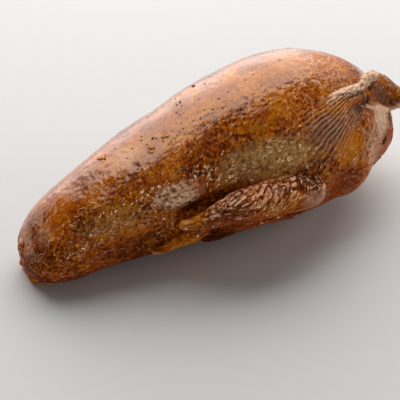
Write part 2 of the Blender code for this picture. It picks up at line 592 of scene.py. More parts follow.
class Noise:
    """Smooth seeded noise: random slopes on a lattice, blended by a fifth-power ease."""

    period = 256

    def __init__(self, seed: int) -> None:
        """Draws the lattice's slopes.

        Args:
            seed: tells one noise from another.
        """
        draw = np.random.default_rng(seed)
        self.order = np.tile(draw.permutation(self.period), 3)
        slopes = draw.normal(size=(self.period, 3))
        self.slopes = slopes / np.linalg.norm(slopes, axis=1)[:, None]

    def at(self, points: Array) -> Array:
        """Reads the noise, whose lumps are one unit wide.

        At each of its cell's corners a point takes the slope's product with the way
        from the corner, times the corner's share, and the eight are summed.

        Args:
            points: where.

        Returns:
            A number from about -1 to 1 for each point.
        """
        cell = np.floor(points).astype(int)
        local = points - cell
        blend = local**3 * (local * (local * 6 - 15) + 10)
        total = np.zeros(len(points))
        for corner in np.ndindex(2, 2, 2):
            x, y, z = ((cell + corner) % self.period).T
            slope = self.slopes[self.order[self.order[self.order[x] + y] + z]]
            share = np.prod(np.where(corner, blend, 1 - blend), axis=1)
            total += share * (slope * (local - corner)).sum(axis=1)
        return total * 1.7

    def layers(self, points: Array, size: float) -> Array:
        """Noise of one size, with a layer on it half as wide and half as strong."""
        return self.at(points / size) + self.at(points / size * 2 + 17.3) / 2

    def creases(self, points: Array, size: float) -> Array:
        """Rounded folds, up to 1, with sharp creases between them, down to about -1."""
        return 1 - 2.2 * np.exp(-4.0 * np.abs(self.layers(points, size)))


# ---- what the forms are made of


@dataclass
class Trunk:
    """Neck skin, breast and rump: upright ovals lofted along X.

    Each section gives the share of the length, the underside, the shares of the height
    and the width, the shift to +Y, and how square the near upper quarter is (2 is an
    ellipse).
    """

    length: float = 189.0
    width: float = 78.0
    height: float = 78.0
    neck_end: float = -92.0
    widest_line: float = 0.46
    around: int = 200
    steps: int = 16
    sections: Rows = (
        (0, 10.5, 0, 0, -2, 2), (0.013, 3.5, 0.21, 0.3, -2, 2), (0.045, 0.5, 0.355, 0.46, -1.8, 2.1),
        (0.1, -1.5, 0.485, 0.55, -1, 2.3), (0.19, -2, 0.62, 0.61, 0.2, 2.7),
        (0.305, -2, 0.75, 0.72, 0.7, 2.7), (0.4, -2, 0.84, 0.8, 0.5, 2.2),
        (0.465, -2, 0.9, 0.87, 0.3, 2), (0.624, -2, 0.99, 0.98, 0, 2), (0.738, -1.5, 1, 0.98, 0, 2),
        (0.832, 1.5, 0.895, 0.87, 0, 2), (0.901, 7, 0.73, 0.72, 0, 2), (0.95, 12, 0.56, 0.58, 0, 2),
        (0.985, 17, 0.38, 0.4, 0, 2), (1, 30, 0, 0, 0, 2),
    )

    def shell(self) -> Shell:
        """Lofts ovals whose upper and lower halves have their own heights.

        At angle a from the near side, a point is the middle plus half the width times
        cos(a) and the half's height times sin(a), both over (|cos|^e + |sin|^e)^(1/e),
        which squares the oval for e over 2.

        Returns:
            The closed shell.
        """
        share, under, tall, wide, side, square = np.array(self.sections).T
        tall = tall * self.height
        middle = under + self.widest_line * tall
        x, half = self.neck_end + share * self.length, wide * self.width / 2
        rows = np.stack([x, side, middle, half, tall, square], axis=1)
        # Across a pole the size changes sign, so that the curve ends in a round cap.
        mirror = np.array([1, 1, 1, -1, -1, 1])
        padded = np.vstack([rows[1] * mirror, rows, rows[-2] * mirror])
        curve = through(padded, self.steps)[self.steps:-self.steps]
        angle = np.linspace(0, 2 * math.pi, self.around, endpoint=False)
        cosine, sine = np.cos(angle), np.sin(angle)
        x, side, middle, half, tall, square = (curve[1:-1, i, None] for i in range(6))
        square = np.where((sine >= 0) & (cosine >= 0), square, 2.0)
        round_off = (np.abs(cosine) ** square + np.abs(sine) ** square) ** (-1 / square)
        part = np.where(sine >= 0, 1 - self.widest_line, self.widest_line)
        y, z = side - half * cosine * round_off, middle + tall * part * sine * round_off
        return Shell.over(np.stack([x + 0 * angle, y, z], axis=2), curve[0, :3], curve[-1, :3])


@dataclass
class Limb:
    """A tapering form along a path, as points (x, y, z, width, thickness).

    Width is measured along the skin and thickness away from the body. Blunt is how
    round the first and the last end are: 1 is a half ball, and less is flatter.
    """

    name: str
    points: Rows
    blunt: tuple[float, float] = (1.0, 1.0)
    mirrored: bool = False
    shift: Place = (0.0, 0.0, 0.0)
    around: int = 40
    steps: int = 16

    def path(self) -> Array:
        """Places the curve along the limb's middle.

        Returns:
            Its points, each with the width and the thickness there.
        """
        rows = np.array(self.points, float)
        if self.mirrored:
            rows[:, 1] *= -1
        rows[:, :3] += self.shift
        return through(rows, self.steps)

    def shell(self) -> Shell:
        """Sweeps ovals square to the path: cos across it along the skin, sin outward.

        Towards each end both sizes shrink by sqrt(1 - (1 - d)^2), where d is the way
        to the end over the cap's length, which gives a rounded cap.

        Returns:
            The closed shell.
        """
        curve = self.path()
        middle, width, thick = curve[:, :3], curve[:, 3], curve[:, 4]
        run = run_along(middle)
        first, last = thick[0] * self.blunt[0], thick[-1] * self.blunt[1]
        inset = np.minimum(run / first, (run[-1] - run) / last)
        cap = np.sqrt(1 - (1 - np.clip(2 * inset, 0, 1)) ** 2)
        along = np.gradient(middle, axis=0)
        along /= np.linalg.norm(along, axis=1)[:, None]
        outward = np.array([0.0, np.sign(middle[:, 1].mean()) or -1.0, 0.35])
        across = np.cross(along, outward)
        across /= np.linalg.norm(across, axis=1)[:, None]
        outward = np.cross(across, along)
        angle = np.linspace(0, 2 * math.pi, self.around, endpoint=False)[:, None]
        wide = across[:, None] * np.cos(angle) * (width * cap / 2)[:, None, None]
        deep = outward[:, None] * np.sin(angle) * (thick * cap / 2)[:, None, None]
        rings = middle[:, None] + wide + deep
        return Shell.over(rings[1:-1], middle[0], middle[-1])

    def around_it(self, points: Array) -> Nearness:
        """Finds where points lie round the limb.

        Args:
            points: where; those far from the limb keep a great distance.

        Returns:
            Their places round it.
        """
        curve = self.path()[::3]
        middle, radius = curve[:, :3], curve[:, 3:].mean(axis=1) / 2
        run = run_along(middle)
        reach = radius.max() + 8
        low, high = middle.min(axis=0) - reach, middle.max(axis=0) + reach
        close = np.all((points > low) & (points < high), axis=1)
        away = points[close][:, None] - middle
        gaps = np.linalg.norm(away, axis=2) - radius
        nearest = gaps.argmin(axis=1)
        rows = np.arange(len(nearest))
        gap, share, lift = np.full(len(points), 99.0), np.zeros(len(points)), np.zeros(len(points))
        gap[close] = gaps[rows, nearest]
        share[close] = run[nearest] / run[-1]
        lift[close] = away[rows, nearest, 2] / radius[nearest]
        return Nearness(gap, share, lift)


@dataclass
class Nearness:
    """Where points lie round a limb.

    Gap is the way from its surface in mm, share the way along it from 0 to 1, and lift
    the height over its middle as a share of its radius.
    """

    gap: Array
    share: Array
    lift: Array

    def on(self, margin: float = 1.8) -> Array:
        """How surely each point lies on the limb: 1 on it, and 0 from the margin on."""
        return ease(margin, 0.2 * margin, self.gap)

    def zone(self, share: tuple[float, float], lift: tuple[float, float] = (-2, 2)) -> Array:
        """A soft window on the limb, from where to where along it and up it."""
        return window(share, 0.08, self.share) * window(lift, 0.24, self.lift)


@dataclass
class Patch:
    """A soft oval zone of the skin: full at its middle, gone at its edge."""

    middle: Place
    reach: Place
    strength: float = 1.0

    def over(self, points: Array) -> Array:
        """The zone's share at each point: an ease of 1 less the scaled distance."""
        away = np.linalg.norm((points - self.middle) / self.reach, axis=1)
        return self.strength * ease(1.0, 0.3, away)


@dataclass
class Groove:
    """A soft valley, or with a depth below 0 a ridge, along a path over the skin."""

    points: Rows
    depth: float
    width: float

    def over(self, points: Array) -> Array:
        """Sinks points: the depth times an ease of the way to the path, less at its ends.

        Args:
            points: where.

        Returns:
            How far each point sinks, in mm.
        """
        path = through(self.points, 8)
        low, high = path.min(axis=0) - self.width, path.max(axis=0) + self.width
        close = np.all((points > low) & (points < high), axis=1)
        away = np.linalg.norm(points[close][:, None] - path, axis=2)
        ends = np.sin(np.linspace(0.15, math.pi - 0.15, len(path))) ** 0.5
        sunk = np.zeros(len(points))
        sunk[close] = self.depth * ends[away.argmin(axis=1)] * ease(self.width, 0.0, away.min(axis=1))
        return sunk


class Side(Enum):
    """Which side, with how far its limbs sit from the near side's mirror image."""

    NEAR = (False, (0.0, 0.0, 0.0))
    FAR = (True, (-3.0, -1.5, -13.0))


@dataclass
class Skin:
    """A skin fused from forms, then wrinkled, painted and dressed.

    Voxel is the width of its faces in mm, and limit the most triangles that it keeps.
    """

    name: str
    voxel: float = 0.45
    softening: int = 3
    limit: int = 195000

    def forms(self) -> Shell:
        """The shell that is fused."""
        raise NotImplementedError

    def relief(self, points: Array) -> Array:
        """How far each point moves outward, in mm."""
        raise NotImplementedError

    def zones(self, points: Array, normals: Array) -> dict[str, Array]:
        """What the material reads at each point, by name, apart from what is all 0."""
        raise NotImplementedError

    def build(self, material: Material) -> Object:
        """Fuses, wrinkles, thins, paints and dresses the skin.

        Args:
            material: the finish.

        Returns:
            The finished piece.
        """
        skin = self.forms().fused(self.voxel, self.softening)
        skin.points = skin.points + skin.normals() * self.relief(skin.points)[:, None]
        share = self.limit / (2 * len(skin.quads) + len(skin.triangles))
        if share < 1:
            settings = {"ratio": share, "use_collapse_triangulate": True}
            skin = skin.through_modifiers({"DECIMATE": settings})
        low, high = (np.array(corner) / MM for corner in CAD_BOX)
        skin.points = np.clip(skin.points, low, high)
        mesh = skin.mesh(self.name)
        for name, values in self.zones(skin.points, skin.normals()).items():
            layer = mesh.attributes.new(name, "FLOAT", "POINT")
            layer.data.foreach_set("value", values.astype(np.float32))
        return dress(mesh, material)


def dress(mesh: Mesh, material: Material) -> Object:
    """Shows a mesh as a piece of the bird.

    Args:
        mesh: the finished mesh, in metres.
        material: its finish.

    Returns:
        The piece.
    """
    mesh.shade_smooth()
    mesh.materials.append(material)
    obj = bpy.data.objects.new(mesh.name, mesh)
    bpy.context.scene.collection.objects.link(obj)
    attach(obj, ROOT)
    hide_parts("pigeon")
    LOG.info("%s: %d faces", obj.name, len(mesh.polygons))
    return obj


# ---- the body


NEAR_LEG = {
    "drumstick": (
        (50, -19, 18, 25, 24), (54, -24.5, 27, 33, 26), (59, -26, 36, 33, 25), (66, -21.5, 48, 24, 19),
        (72, -16.5, 56, 13, 12), (78, -12.5, 60, 8, 8), (83, -9.5, 61.5, 7, 7),
    ),
    "fold": (
        (50, -23, 65.6, 2.5, 2), (57, -20.6, 66.4, 3.5, 3.2), (64, -18.9, 65.6, 4, 3.6),
        (70, -17, 63.6, 4, 4), (75.5, -14.3, 62.4, 4, 4), (80, -11.5, 63.4, 4.5, 4.5),
        (83.8, -9.5, 62.6, 5.5, 5.5),
    ),
    "crest": (
        (82.5, -9.5, 61.5, 7, 7), (90, -7.2, 56.3, 6, 6), (96.5, -6.5, 49.5, 6, 6),
        (102, -6, 43, 6.5, 6.5), (105, -5.5, 39, 7, 7),
    ),
    "lip": (
        (73, -22, 56, 2, 2), (78.6, -21.6, 51.9, 2.6, 2.6), (83.6, -19.3, 48.9, 3, 3.4),
        (90, -15.5, 45.3, 3, 3.4), (95.4, -12.7, 42.3, 3, 3.4), (101, -9.5, 39.8, 3.5, 3.5),
        (104.5, -7, 38, 4, 4),
    ),
    "web": (
        (78, -10, 56, 12, 5), (88, -7.5, 49, 14, 6), (96, -6.5, 43, 12, 6), (102, -6.5, 39.5, 6, 5),
    ),
}
FAR_LEG = {
    "drumstick": (
        (50, 19, 15, 25, 24), (55, 24, 23, 32, 26), (62, 24.5, 30, 31, 25), (70, 20.5, 37.5, 22, 18),
        (77, 16.5, 42.5, 12, 11), (82, 14, 45, 8.5, 8.5), (87, 11.5, 46, 8, 8),
    ),
    "fold": (
        (46, 30, 52, 3, 2.5), (58, 27, 50.5, 5, 4.5), (70, 21, 49.5, 5.5, 5), (79, 16, 48, 5.5, 5),
        (87, 11.5, 47, 5.5, 5.5),
    ),
    "crest": (
        (86, 12, 46, 8, 8), (93, 9.5, 42, 7.5, 7.5), (98.5, 7.5, 35, 7.5, 7.5), (98.5, 5.5, 28, 8, 8),
    ),
    "web": (
        (82, 13, 42, 12, 7), (90, 10, 36, 13, 8), (94, 7, 29, 12, 8),
    ),
}
NECK_FLAP = ((-76, -2, 4, 9, 7), (-84, -1, 3.5, 8, 5.5), (-91, 0, 3, 6, 4.5))
NECK_FLAP_SIDES = (-5.5, 0.0, 5.5)
ANKLE = np.array([83.0, -9.0, 62.0])

# The groove behind the wing is also painted darker, as shade.
BEHIND_WING = Groove(
    ((-27, -31.5, 32), (-21, -31, 34), (-15, -31, 36), (-7, -32, 39), (1.4, -33, 41.5)), 2.6, 6.0
)
# A low ridge under the leg's fold, also painted lighter as a highlight.
STREAK = Groove(((60.5, -23.6, 63.2), (66, -21.6, 62), (71, -19.3, 61.3), (75.5, -16.8, 61.2)), -0.9, 2)
# A white mark whose flakes are painted pale, as glints.
WHITE_MARK_AND_GLINTS = Patch((-26, -26.5, 43.5), (14, 9, 7))
# What is pressed in: behind the wing, above and below the leg's fold, round the leg's end, then dents.
HOLLOWS = (
    BEHIND_WING,
    Groove(((52, -20, 69), (62, -17.5, 69.5), (73, -14, 67)), 1.2, 4.0),
    Groove(((60, -24.5, 61), (67, -23, 59.3), (73, -20.5, 58), (78, -18, 57)), 1.2, 2.6),
    Groove(((79, -17, 56.5), (86, -14, 52), (92.5, -11.5, 47.5), (98.5, -9, 42.5)), 2.6, 5.5),
    STREAK,
    Patch((83, -25.5, 35), (2.6, 4.5, 1.8), 2.2),
    Patch((76, -28.5, 42), (6, 6, 12), -1.4),
    Patch((66.5, -25, 58), (3.2, 5, 3.2), 0.8),
    Patch((73, -23, 57), (2.8, 4, 2.8), 0.8),
    Patch((-14, -33, 30), (26, 9, 14), 1.2),
    Patch((-91, 2, 16), (4, 5, 5), -1.0),
)
# The body's soft oval zones by what they change: each one's middle, reach and strength.
SPOTS = {
    "crinkled": (
        ((-28, -26, 43), (14, 8, 8)), ((-68, -20.5, 29.5), (9, 8, 8)), ((-75, -19.7, 26), (7, 8, 7)),
        ((20, -32, 52), (28, 12, 14), 0.6),
    ),
    # Some browning spots are painted shade: behind the wing, under the leg's fold, in the pockets and
    # dents round the leg's end, and in the vent hole.
    "browning": (
        ((5, -26, 57), (45, 14, 12), 0.12), ((-22, -24, 52), (22, 8, 7), 0.12),
        ((-86, -4, 28), (8, 9, 9), 0.15), ((18, -13, 67), (34, 9, 10), 0.22),
        ((75, -6, 65), (18, 20, 10), 0.25), ((-70, -10, 12), (24, 22, 12), 0.12),
        ((-66, -14, 34), (18, 12, 14), 0.15), ((-50, -25, 16), (26, 10, 10), 0.08),
        ((66.5, -25, 58), (4.2, 5, 4.2), 0.5), ((73, -23, 57), (3.2, 4, 3.2), 0.5),
        ((92, -11.4, 46.5), (2.2, 4, 2.2), 0.7), ((83, -25.5, 35), (2.6, 5, 1.8), 1.2),
        ((57, -35, 46), (12, 9, 14), -0.28), ((-72, -22, 13), (18, 7, 8), -0.15),
        ((88, -10, 51), (14, 8, 10), 0.25), ((55, -35, 47), (10, 8, 11), -0.22),
        ((72, -20.5, 58.5), (7, 5, 4), 0.6), ((-19, -29.5, 36), (10, 6, 5), 0.8),
        ((-45, -24.5, 21), (26, 8, 9), 0.35), ((54, -38, 32), (12, 9, 9), 0.1),
        ((66, -20.5, 62.5), (10, 4, 4), 0.3), ((78.5, -15, 61.5), (4.5, 5, 4.5), 0.6),
    ),
    # The pale spot on the breast's right end, at (62, -8, 71), is painted glints.
    "pale": (
        ((82, -10, 64), (6, 7, 6), 0.4), ((62, -8, 71), (20, 16, 12), 0.22),
        ((-84, -8, 30), (8, 7, 8), 0.28), ((82, -22, 48), (8, 8, 8), 0.4),
        ((82, -22, 46), (11, 10, 9), 1.2), ((-40.5, -4, 53.7), (15, 8, 7), 0.3),
        ((74, -31, 38), (15, 13, 17), 0.6), ((83, -25.5, 35), (3.2, 5, 2.2), -1.5),
        ((88, 18, 30), (14, 14, 14), 0.7),
    ),
    "olive": (
        ((16, -32, 52), (34, 13, 13), 0.95), ((-55, -22, 35), (26, 10, 11), 0.32),
    ),
    "ruddy": (
        ((54, -38, 30), (14, 9, 12), 0.6), ((-48, -22, 22), (22, 12, 12), 0.3),
        ((80, -24, 28), (14, 12, 16), 0.5), ((-19, -29.5, 36), (10, 6, 5), -1),
    ),
    "gloss": (
        ((52, -36, 40), (16, 10, 18), -0.2), ((-88, 2, 20), (10, 14, 14), 0.5),
        ((-28, -26, 43), (13, 9, 9), 1), ((80, -24, 46), (12, 10, 14), 0.8),
        ((67, -20, 62), (10, 6, 6), 0.6), ((-68, -20.5, 29.5), (9, 8, 8), 0.6),
        ((-75, -19.7, 26), (7, 8, 7), 0.6),
    ),
    "dusky": (
        ((92, -11, 49), (17, 9, 12), 1), ((48, -31, 57), (18, 11, 12), 0.7),
        ((63, -27, 57), (8, 7, 7), 0.6),
    ),
    "mottled": (
        ((82, -22, 42), (16, 14, 16), -0.5), ((56, -36, 42), (18, 12, 20), 0.3),
    ),
}


def spots(kind: str, points: Array) -> Array:
    """The sum of the body's soft zones of one kind at each point."""
    return sum(Patch(*row).over(points) for row in SPOTS[kind])


@dataclass
class Body(Skin):
    """Trunk, legs and the flap of neck skin, in one skin."""

    trunk: Trunk = field(default_factory=Trunk)

    def limbs(self) -> list[Limb]:
        """Lists the limbs.

        Returns:
            Both legs' parts and the flap's folds.
        """
        made = [Limb(f"near_{name}", points) for name, points in NEAR_LEG.items()]
        made += [Limb(f"far_{name}", points) for name, points in FAR_LEG.items()]
        return made + [Limb("flap", NECK_FLAP, shift=(0, side, 0)) for side in NECK_FLAP_SIDES]

    def forms(self) -> Shell:
        """Melts the legs' bulk into the trunk, and lays the thin folds on it.

        Returns:
            The shell that is fused.
        """
        bulk, thin = [self.trunk.shell()], []
        for limb in self.limbs():
            (bulk if limb.name.endswith(("drumstick", "web")) else thin).append(limb.shell())
        return Shell.joined([Shell.joined(bulk).fused(voxel=1.2, softening=12)] + thin)

    def on(self, words: str, points: Array, margin: float = 1.8) -> Array:
        """Says how surely each point lies on some of the limbs.

        Args:
            words: the limbs' names hold one of these.
            points: where.
            margin: how far from a limb it fades out, in mm.

        Returns:
            A share from 0 to 1 for each point.
        """
        limbs = [limb for limb in self.limbs() if any(word in limb.name for word in words.split())]
        return np.max([limb.around_it(points).on(margin) for limb in limbs], axis=0)

    def relief(self, points: Array) -> Array:
        """Raises lumps and goose flesh, ribs fanned from the ankle, wrinkles and flakes.

        Args:
            points: where.

        Returns:
            How far each point moves outward, in mm: less and less towards the floor.
        """
        x, _, z = points.T
        height = 0.5 * Noise(3).layers(points, 26.0) + 0.11 * Noise(4).layers(points, 5.5)
        height += 0.10 * Noise(5).layers(points, 2.1)
        for side in Side:
            phase, strength = self.fan(points, side)
            height += 0.22 * strength * (1 - 2 * np.exp(-3.0 * np.abs(np.sin(phase))))
        height += 0.22 * spots("crinkled", points) * Noise(9).creases(points * (0.8, 1, 1.5), 2.4)
        rump = ease(66, 76, x) * ease(52, 44, z)
        slanted = points @ np.array([(0.35, 1.0, 0.5), (0.25, -1.2, 0.6), (-0.1, 0.2, 1.2)])
        height += 0.25 * rump * Noise(10).creases(slanted, 3.0)
        thin = self.on("crest fold flap", points)
        height += 0.25 * thin * Noise(11).creases(points * (0.5, 1.1, 1.1), 2.6)
        height += 0.45 * self.on("near_fold", points, 0.9) * self.fold_lines(points)
        height += 0.35 * WHITE_MARK_AND_GLINTS.over(points) * self.flakes(points)
        for hollow in HOLLOWS:
            height -= hollow.over(points)
        return height * ease(0.4, 3.0, z)

    def flakes(self, points: Array) -> Array:
        """Short ridges, drawn out a little along the body, for the white mark, whose flakes are painted
        pale as glints.
        """
        return Noise(31).creases(points * (0.8, 1, 1.4), 2.6)

    def fold_lines(self, points: Array) -> Array:
        """Creases along the fold: its direction is squeezed to a quarter before the noise."""
        along = np.array((0.926, 0.367, -0.08))
        return Noise(32).creases(points @ (np.eye(3) - 0.75 * np.outer(along, along)), 1.7)

    def fan(self, points: Array, side: Side) -> tuple[Array, Array]:
        """Spreads wrinkles on a flank from the ankle, like a fan's ribs.

        In the flank's plane, which slopes down and outward, the ribs follow the angle
        about the ankle with a slow wobble, about twenty to a radian, and they fade out
        at the fan's edges.

        Args:
            points: where.
            side: which flank.

        Returns:
            The ribs' phase, whose sine is 0 in each crease, and their strength.
        """
        mirrored, shift = side.value
        outward = 1 if mirrored else -1
        away = points - (ANKLE * (1, -outward, 1) + shift)
        slope = 0.75 * outward * away[:, 1] - 0.66 * away[:, 2]
        out = np.hypot(away[:, 0], slope)
        angle = np.arctan2(slope, -away[:, 0])
        phase = angle * 62 + 1.2 * Noise(7).layers(points, 9.0)
        inside = ease(0.1, 0.3, angle) * ease(0.95, 0.6, angle) * ease(10, 18, out) * ease(60, 40, out)
        this_side = ease(6, 16, outward * points[:, 1])
        return phase, inside * this_side * (0.65 + 0.5 * Noise(8).at(points / 7))

    def zones(self, points: Array, normals: Array) -> dict[str, Array]:
        """Paints the body: how brown, pale, tinted, glossy and lined it is, with painted shade and
        highlights.

        Args:
            points: where.
            normals: each point's outward direction.

        Returns:
            What the material reads at each point, by name.
        """
        x, y, z = points.T
        fold, lip = self.on("near_fold", points, 0.9), self.on("lip", points, 0.8)
        crest, flap = self.on("near_crest", points, 1.0), self.on("flap", points)
        lines, flakes = self.fold_lines(points), self.flakes(points)
        marked = WHITE_MARK_AND_GLINTS.over(points)
        upper = ease(0.1, 0.75, normals[:, 2])
        facing_up = ease(0.35, 0.62, normals[:, 2])

        # Painted shade and light: browner low down and on the far side, which the light from behind
        # brightens, and lighter on top; the flap is lighter.
        browning = 0.36 - 0.06 * ease(62, 74, z) + 0.30 * ease(20, 4, z) * (1 - flap) - 0.4 * flap
        browning += 0.16 * ease(4, 26, y) + spots("browning", points)
        # The fold and the crest are light, with painted shade on their outlines and undersides; the
        # streak under the fold is painted lighter, as a highlight, and the groove behind the wing
        # darker, as shade.
        browning += 1.6 * fold * (1 - fold) + 0.8 * crest * (1 - crest)
        browning += 0.45 * fold * (1 - upper) + 0.2 * crest * (1 - upper)
        browning -= 0.45 * crest + 0.35 * fold
        browning -= 0.8 * STREAK.over(points) / STREAK.depth
        browning += 0.3 * BEHIND_WING.over(points) / BEHIND_WING.depth
        # Painted shade in the fold's lines and painted highlights on their tops; painted shade between
        # the mark's flakes.
        browning += fold * (0.55 * ease(0.1, -0.8, lines) - 0.2 * ease(0.0, 0.8, lines))
        browning += 0.2 * ease(0.0, -0.8, flakes) * marked

        # Pale is partly painted light: the fold's upper side and its lines' tops, the lip's edge and
        # the mark's flakes are painted highlights, over the fold's own pale skin.
        pale = fold * ease(46, 58, x) * (1.05 + 0.6 * lines) * (0.5 + 0.8 * upper)
        pale = np.maximum(pale + 0.8 * lip + spots("pale", points), 0)
        pale += 2.6 * ease(-0.3, 0.5, flakes) * marked

        # The smooth upper breast is stretched, and is mottled less.
        breast = ease(0.25, 0.55, normals[:, 2])
        behind = 1 - Patch((66, -6, 70), (26, 22, 16), 0.85).over(points)
        stretched = ease(-0.55, -0.28, normals[:, 1]) * breast * (1 - fold) * behind + 0.45 * fold
        mottled = 1 - 0.6 * ease(-0.42, -0.12, normals[:, 1]) * breast + spots("mottled", points)

        phase, ribbed = self.fan(points, Side.NEAR)
        far_phase, far_ribbed = self.fan(points, Side.FAR)
        return {
            "browning": browning,
            "pale": pale,
            "olive": spots("olive", points),
            # Ruddier and darker low down, as painted shade.
            "ruddy": 0.6 * ease(16, 4, z) * (1 - flap) + 0.2 * fold + spots("ruddy", points),
            "dusky": (1 - 0.8 * crest) * spots("dusky", points),
            "pores": ease(30, 55, z),
            "gloss": 0.70 + 0.34 * facing_up + 1.4 * fold + 1.0 * crest + spots("gloss", points),
            "stretched": stretched,
            "crinkled": 0.4 * (1 - facing_up) * (1 - fold) + 0.1 * fold,
            "mottled": mottled * (1 - 0.7 * fold),
            "rib_phase": np.where(y < 0, phase, far_phase),
            "ribbed": ribbed + 0.6 * far_ribbed,
        }


# ---- the wings


WING_PARTS = {
    "forearm": (
        (39, -38.2, 31.6, 12.5, 12.5), (32, -40, 34.2, 15, 15), (23, -41, 37, 16, 16),
        (13.9, -41.3, 38.5, 16, 16), (5.3, -41.3, 39, 15, 15.5), (-2.1, -40.3, 38.5, 13.5, 14),
        (-8.5, -38.5, 36.4, 11, 12), (-13.6, -36.5, 33.6, 9, 10), (-19, -34.8, 32, 6.5, 8),
        (-23.4, -33.6, 31.4, 4.5, 5), (-28, -33, 31.7, 3.6, 3.6),
    ),
    "strip": (
        (37, -37, 25, 6, 7), (24.5, -37.5, 24.5, 8, 9), (10, -37.5, 26, 8, 9), (-0.5, -36, 26, 8, 9),
        (-7, -34, 23.3, 8.5, 8), (-12.5, -32, 19.6, 7, 7), (-16.5, -31, 21, 5, 6),
    ),
    "hand": (
        (-15, -34.5, 27.5, 7, 7), (-22.5, -32, 22.6, 5.5, 6.5), (-26.5, -30, 20.4, 5, 6),
        (-31.9, -27.8, 16.8, 4, 5), (-36.5, -26.2, 14.8, 2.8, 4), (-38.5, -25.6, 14, 3.6, 4),
    ),
    "shoulder": (
        (38, -34, 27, 12, 14), (22, -33.5, 29, 12, 14), (6, -31, 27, 12, 14),
    ),
}

@dataclass
class Wing(Skin):
    """A folded wing: forearm with its thumb, the edge under it, and the hand."""

    voxel: float = 0.32
    side: Side = Side.NEAR

    def limbs(self) -> dict[str, Limb]:
        """Lists the limbs.

        Returns:
            The wing's parts, by name.
        """
        mirrored, shift = self.side.value
        return {
            name: Limb(name, points, blunt=(0.3, 1.0), mirrored=mirrored, shift=shift)
            for name, points in WING_PARTS.items()
        }

    def forms(self) -> Shell:
        """All the parts."""
        return Shell.joined([limb.shell() for limb in self.limbs().values()])

    def folds(self, points: Array) -> Array:
        """Creases the wing: diagonally in its middle, lengthwise elsewhere, and finely.

        Each is creased noise in coordinates that are squeezed along its folds.

        Args:
            points: where.

        Returns:
            A height from -1 to 1 for each point.
        """
        mirrored, shift = self.side.value
        place = (points - shift) * (1, -1 if mirrored else 1, 1)
        seed = 40 if mirrored else 20
        turned = place @ np.array([(0.22, 0, -0.75), (0, 0.6, 0), (0.20, 0, 0.9)])
        middle = ease(-4, 6, place[:, 0]) * ease(36, 26, place[:, 0]) * ease(33, 37, place[:, 2])
        diagonal = Noise(seed + 1).creases(turned, 2.3)
        lengthwise = Noise(seed + 2).creases(place * (0.2, 0.8, 1.0), 2.2)
        fine = Noise(seed + 3).creases(place * (0.45, 1.0, 1.0), 1.1)
        return 0.78 * (lengthwise + middle * (diagonal - lengthwise)) + 0.22 * fine

    def relief(self, points: Array) -> Array:
        """The folds, flatter on the elbow, over soft lumps."""
        elbow = self.limbs()["forearm"].around_it(points).zone((-1, 0.2), (-0.8, 0.4))
        return (0.62 - 0.35 * elbow) * self.folds(points) + 0.35 * Noise(27).layers(points, 8.0)

    def zones(self, points: Array, normals: Array) -> dict[str, Array]:
        """Paints the wing: painted shade in its folds, seam and lower edge, painted highlights on top
        and on the elbow.

        Args:
            points: where.
            normals: each point's outward direction, which the wing doesn't need.

        Returns:
            What the material reads at each point, by name.
        """
        near = {name: limb.around_it(points) for name, limb in self.limbs().items()}
        forearm, strip, hand = near["forearm"], near["strip"], near["hand"]
        on_hand = hand.on() * ease(0.2, 1.2, forearm.gap)
        on_strip = strip.on() * ease(0.2, 1.2, forearm.gap)
        elbow, sunny = forearm.zone((-1, 0.2), (-0.8, 0.4)), forearm.zone((0.15, 0.5), (-0.8, 0.6))
        folds = self.folds(points)
        uneven = np.clip(0.75 + 1.1 * Noise(28).layers(points, 8.0), 0.1, 1.4)
        # Inside the folds is painted shade, and their tops painted highlights.
        inside, on_top = ease(0.0, -0.8, folds) * uneven, ease(0.1, 0.8, folds)
        # The seam between the forearm and the edge under it is painted dark, as shade.
        seam_shade = ease(0.9, 0.1, np.abs(forearm.gap - strip.gap))
        seam_shade *= ease(2.2, 1.2, np.maximum(forearm.gap, strip.gap))

        # The edge under the forearm is painted darker, as shade.
        browning = 0.58 + 0.25 * forearm.zone((-1, 0.35), (0.55, 2)) + 0.25 * on_strip
        # Painted shade inside the folds and painted highlights on their tops, less on the elbow and the
        # hand.
        creased = 0.85 * inside - 0.60 * on_top
        browning += creased * (1 - 0.7 * elbow) * (1 - 0.6 * on_hand) + 0.6 * seam_shade
        browning -= 0.35 * forearm.zone((0.2, 0.5), (-0.3, 0.6)) + 0.4 * forearm.zone((0.8, 2))
        browning += 0.45 * strip.zone((0.72, 2)) * on_strip - 0.45 * on_hand
        # Painted highlights on the folds' tops and the thumb's tip, and a painted reflection on the
        # elbow's face.
        ridges = 0.85 * forearm.zone((-1, 0.8), (0.3, 2)) + 0.35 * forearm.zone((0.5, 0.8), (0.35, 2))
        pale = (0.65 * elbow + on_top * ridges) * (1 - 0.7 * sunny) + 0.10 * forearm.zone((0.94, 2))
        # Ruddier low on the forearm and on the edge; the elbow's painted reflection and the painted
        # shade in the folds are tinted ruddy too.
        ruddy = 0.9 * forearm.zone((0.25, 0.93), (-2, 0.35)) * (1 - 0.7 * sunny) + 0.25 * elbow
        ruddy += 0.3 * inside * (1 - on_strip) + 0.6 * on_strip * ease(0.8, 0.6, strip.share)
        return {
            "browning": browning,
            "pale": pale,
            "ruddy": ruddy,
            "gloss": 1.0 + 1.0 * ease(-0.1, 0.5, forearm.lift) - 0.4 * on_hand,
            "crinkled": 0.15 * (1 - elbow),
            "mottled": np.full(len(points), 0.3),
        }


# ---- the crumbs


